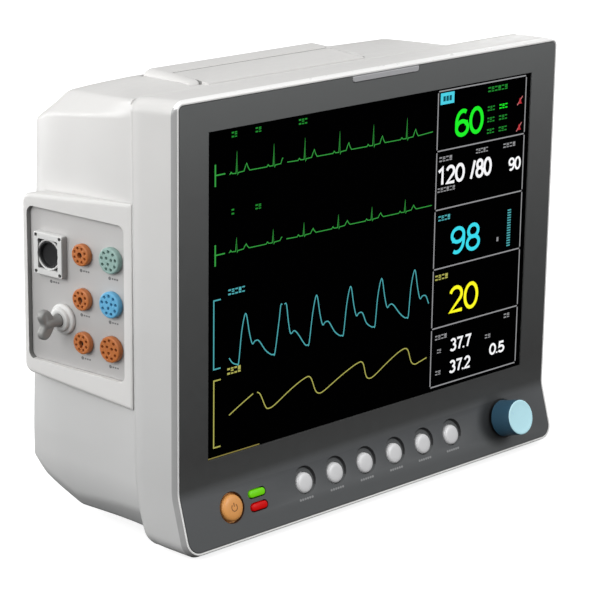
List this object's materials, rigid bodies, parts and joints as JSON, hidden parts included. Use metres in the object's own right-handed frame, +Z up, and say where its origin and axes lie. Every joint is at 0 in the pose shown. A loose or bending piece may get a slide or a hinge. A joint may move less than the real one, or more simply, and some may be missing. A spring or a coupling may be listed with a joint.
{
  "type": "patient monitor",
  "caption": "Bedside patient monitor with a wide screen, a leaning strip of keys and a rotary knob, side sensor sockets and a folding top handle.",
  "frame": {"origin": "centre of the overall box's footprint, on the plane of the feet", "axes": "+Z up, the screen faces -Y, the sensor sockets are on the -X side"},
  "size_m": [0.4168, 0.185, 0.316],
  "materials": {
    "housing_white": "fine satin grain",
    "bezel_grey": "fine satin grain",
    "black_plastic": "moulded",
    "screen_glass": "smooth",
    "sheet_metal": "brushed",
    "nickel": "plated",
    "circuit_board": "varnished",
    "socket_orange": "satin",
    "button_orange": "satin",
    "socket_mint": "satin",
    "socket_blue": "satin",
    "knob_blue": "satin",
    "key_silver": "silver lacquer",
    "led_green": "clear",
    "led_red": "clear",
    "alarm_lens_grey": "frosted",
    "rubber": "matte",
    "panel_grey": "satin",
    "battery_wrap": "film"
  },
  "bodies": {
    "monitor": {"front_housing": "housing_white", "front_fascia": "bezel_grey", "alarm_light_lens": "alarm_lens_grey", "screen_window": "screen_glass", "power_led_lens": "led_green", "battery_led_lens": "led_red", "encoder_body": "black_plastic", "key_board": "circuit_board", "lcd_panel": "sheet_metal", "lcd_bracket": "sheet_metal", "alarm_light_board": "circuit_board", "rear_case": "housing_white", "handle_pin_left": "sheet_metal", "handle_pin_right": "sheet_metal", "sensor_pod": "housing_white", "socket_panel": "panel_grey", "sensor_socket_small_1": "socket_orange", "sensor_socket_small_2": "socket_orange", "sensor_socket_small_3": "socket_orange", "sensor_socket_large_1": "socket_mint", "sensor_socket_large_2": "socket_blue", "sensor_socket_large_3": "socket_orange", "module_socket_flange": "panel_grey", "module_socket_insert": "black_plastic", "air_port_base": "housing_white", "air_hose_coupler": "nickel", "chassis_plate": "sheet_metal", "main_board": "circuit_board", "power_supply": "sheet_metal", "battery_pack": "battery_wrap", "speaker": "black_plastic", "air_pump": "black_plastic", "parameter_board": "circuit_board", "rear_port_panel": "sheet_metal", "mains_inlet": "black_plastic", "ground_post": "nickel", "network_port": "sheet_metal", "video_port": "sheet_metal", "vesa_plate": "sheet_metal", "front_foot_left": "rubber", "front_foot_right": "rubber", "rear_foot_left": "rubber", "rear_foot_right": "rubber", "rear_screw_1": "nickel", "rear_screw_2": "nickel", "rear_screw_3": "nickel", "rear_screw_4": "nickel"},
    "knob_push": {"encoder_plunger": "nickel"},
    "knob_turn": {"encoder_shaft": "sheet_metal", "rotary_knob": "knob_blue"},
    "power_button": {"power_button": "button_orange"},
    "handle": {"carry_handle": "housing_white"},
    "battery_door": {"battery_door": "housing_white"},
    "key_1": {"soft_key_1": "key_silver"},
    "key_2": {"soft_key_2": "key_silver"},
    "key_3": {"soft_key_3": "key_silver"},
    "key_4": {"soft_key_4": "key_silver"},
    "key_5": {"soft_key_5": "key_silver"},
    "key_6": {"soft_key_6": "key_silver"}
  },
  "joints": [
    {"name": "knob_press", "type": "slide", "parent": "monitor", "child": "knob_push", "axis": [0, 0.9573, -0.289], "range_m": [0, 0.001]},
    {"name": "knob_turn", "type": "hinge", "parent": "knob_push", "child": "knob_turn", "pos_m": [0.15141, -0.07056, 0.02895], "axis": [0, -0.9573, 0.289], "continuous": true},
    {"name": "power_press", "type": "slide", "parent": "monitor", "child": "power_button", "axis": [0, 0.9573, -0.289], "range_m": [0, 0.001]},
    {"name": "handle_fold", "type": "hinge", "parent": "monitor", "child": "handle", "pos_m": [-0.03209, -0.00948, 0.3096], "axis": [1, 0, 0], "range_deg": [0, 90]},
    {"name": "battery_door_swing", "type": "hinge", "parent": "monitor", "child": "battery_door", "pos_m": [0.20441, 0.03202, 0.0404], "axis": [0, 1, 0], "range_deg": [0, 90]},
    {"name": "key_1_press", "type": "slide", "parent": "monitor", "child": "key_1", "axis": [0, 0.9573, -0.289], "range_m": [0, 0.001]},
    {"name": "key_2_press", "type": "slide", "parent": "monitor", "child": "key_2", "axis": [0, 0.9573, -0.289], "range_m": [0, 0.001]},
    {"name": "key_3_press", "type": "slide", "parent": "monitor", "child": "key_3", "axis": [0, 0.9573, -0.289], "range_m": [0, 0.001]},
    {"name": "key_4_press", "type": "slide", "parent": "monitor", "child": "key_4", "axis": [0, 0.9573, -0.289], "range_m": [0, 0.001]},
    {"name": "key_5_press", "type": "slide", "parent": "monitor", "child": "key_5", "axis": [0, 0.9573, -0.289], "range_m": [0, 0.001]},
    {"name": "key_6_press", "type": "slide", "parent": "monitor", "child": "key_6", "axis": [0, 0.9573, -0.289], "range_m": [0, 0.001]}
  ]
}
